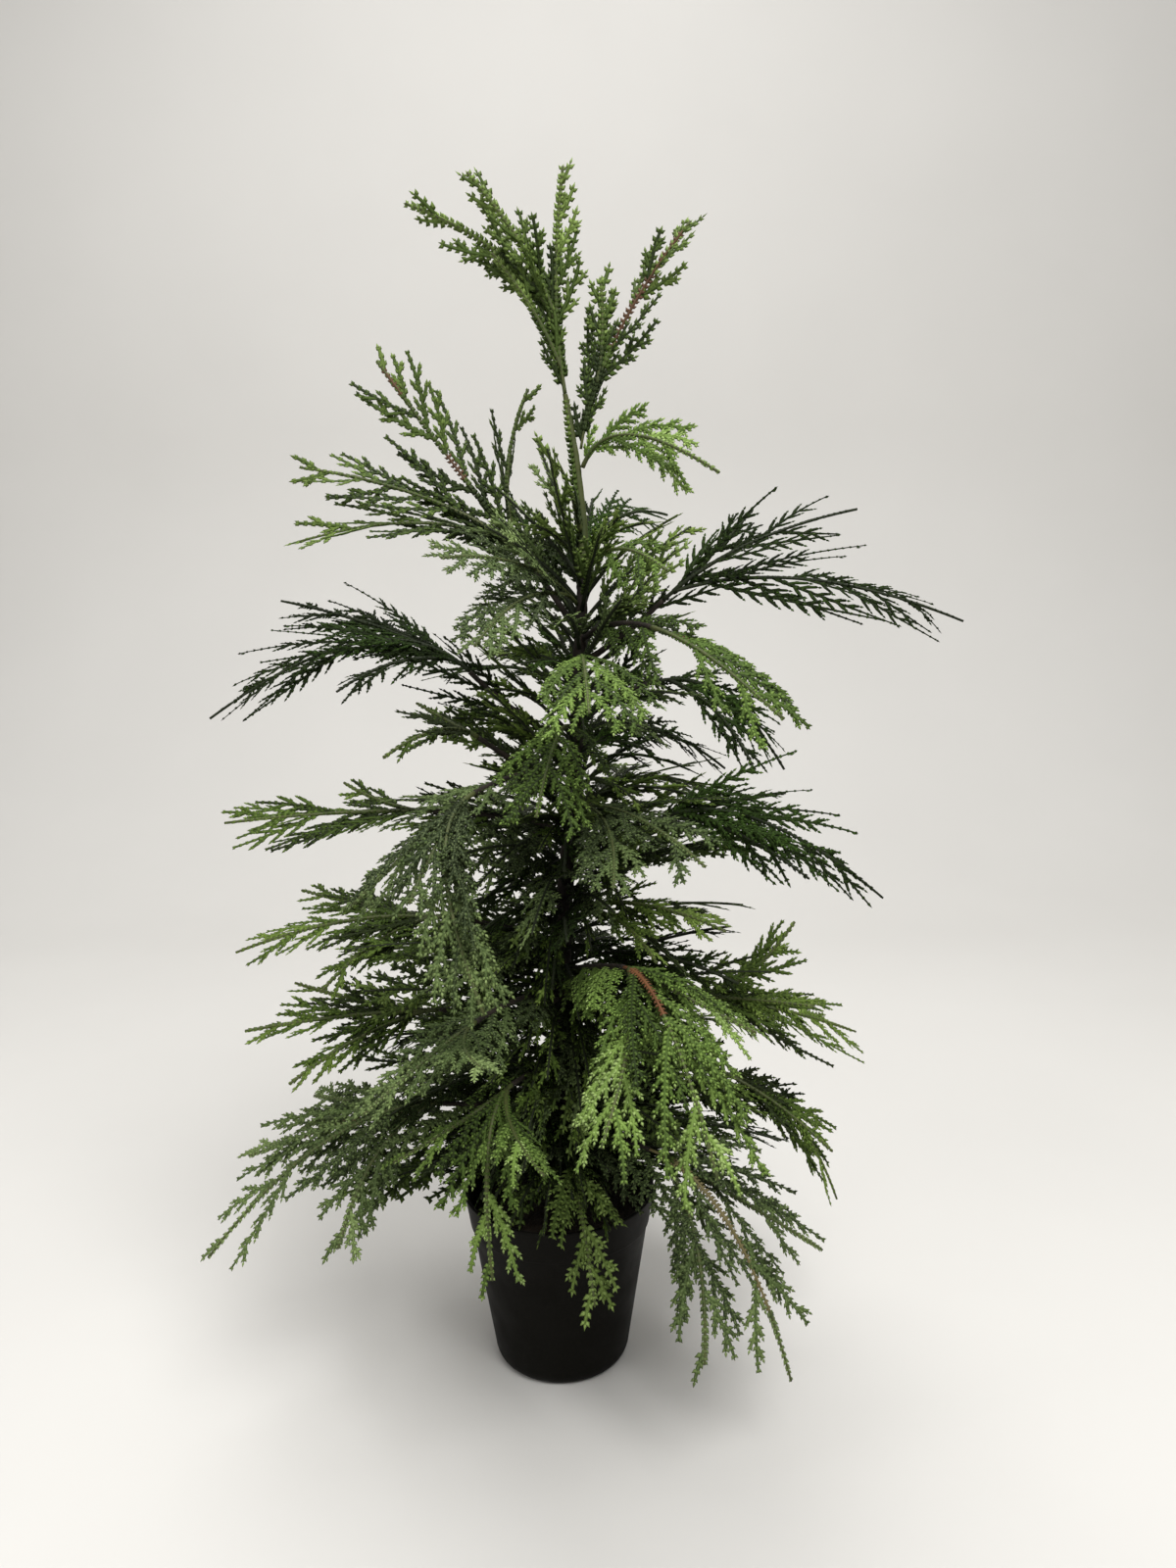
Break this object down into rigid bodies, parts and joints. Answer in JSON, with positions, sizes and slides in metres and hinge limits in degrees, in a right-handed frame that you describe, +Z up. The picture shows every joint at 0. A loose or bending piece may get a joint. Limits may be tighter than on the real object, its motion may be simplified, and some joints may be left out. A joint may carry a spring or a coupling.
{
  "type": "artificial potted cedar tree",
  "caption": "Tabletop artificial northern white cedar in a plain tapered black pot: a leaning taped stem, wire boughs, and flat fern-like green sprays with open gaps between them.",
  "frame": {"origin": "centre of the pot's flat underside, on the floor", "axes": "+Z up along the tree, -Y towards the side the picture shows, +X to that view's right"},
  "size_m": [0.3793, 0.341, 0.61],
  "materials": {
    "pot": "near-black moulded plastic, satin-matte",
    "filling": "set filling with a rough dark brown top",
    "stem_tape": "dark brown stem tape wound on wire",
    "bough_wire": "green plastic coat over wire, wound where it meets the stem",
    "foliage_bright": "bright yellow-green moulded scale foliage",
    "foliage_mid": "mid green moulded scale foliage",
    "foliage_olive": "olive green moulded scale foliage",
    "foliage_grey": "grey-green moulded scale foliage with a pale bloom",
    "foliage_dark": "dark green moulded scale foliage"
  },
  "bodies": {
    "root": {"pot": "pot", "potting_fill": "filling", "trunk": "stem_tape", "bough_upper_left": "bough_wire", "bough_right_bright": "bough_wire", "bough_right_high": "bough_wire", "bough_left_high": "bough_wire", "bough_right_arch_mid": "bough_wire", "bough_left_mid": "bough_wire", "bough_left_long": "bough_wire", "bough_front_left_mid": "bough_wire", "bough_right_mid": "bough_wire", "bough_left_low": "bough_wire", "bough_left_lower": "bough_wire", "bough_front_left_low": "bough_wire", "bough_left_bottom": "bough_wire", "bough_front_left_bottom": "bough_wire", "bough_front_right_low": "bough_wire", "bough_right_low": "bough_wire", "bough_right_lower": "bough_wire", "bough_right_bottom": "bough_wire", "bough_back_mid": "bough_wire", "bough_back_right_low": "bough_wire", "spray_leader": "foliage_mid", "spray_top_right": "foliage_mid", "spray_arch_right": "foliage_bright", "spray_upper_left": "foliage_mid", "spray_left_front_high": "foliage_grey", "spray_back_right_high": "foliage_dark", "spray_crown_small": "foliage_grey", "spray_right_front_high": "foliage_bright", "spray_right_bright": "foliage_bright", "spray_front_high": "foliage_bright", "spray_right_high": "foliage_dark", "spray_left_high": "foliage_dark", "spray_right_arch_mid": "foliage_dark", "spray_right_back_mid": "foliage_dark", "spray_left_mid": "foliage_olive", "spray_front_mid": "foliage_bright", "spray_left_long": "foliage_olive", "spray_front_left_mid": "foliage_grey", "spray_right_mid": "foliage_dark", "spray_front_right_mid": "foliage_grey", "spray_right_mid_low": "foliage_olive", "spray_left_low": "foliage_olive", "spray_left_lower": "foliage_olive", "spray_front_left_low": "foliage_grey", "spray_left_bottom": "foliage_grey", "spray_front_left_bottom": "foliage_bright", "spray_front_bottom": "foliage_mid", "spray_front_right_low": "foliage_bright", "spray_right_low": "foliage_olive", "spray_right_lower": "foliage_olive", "spray_right_bottom": "foliage_grey", "spray_back_high": "foliage_mid", "spray_back_left_high": "foliage_dark", "spray_back_right_mid": "foliage_olive", "spray_back_mid": "foliage_grey", "spray_back_left_low": "foliage_mid", "spray_back_right_low": "foliage_bright"}
  },
  "joints": []
}
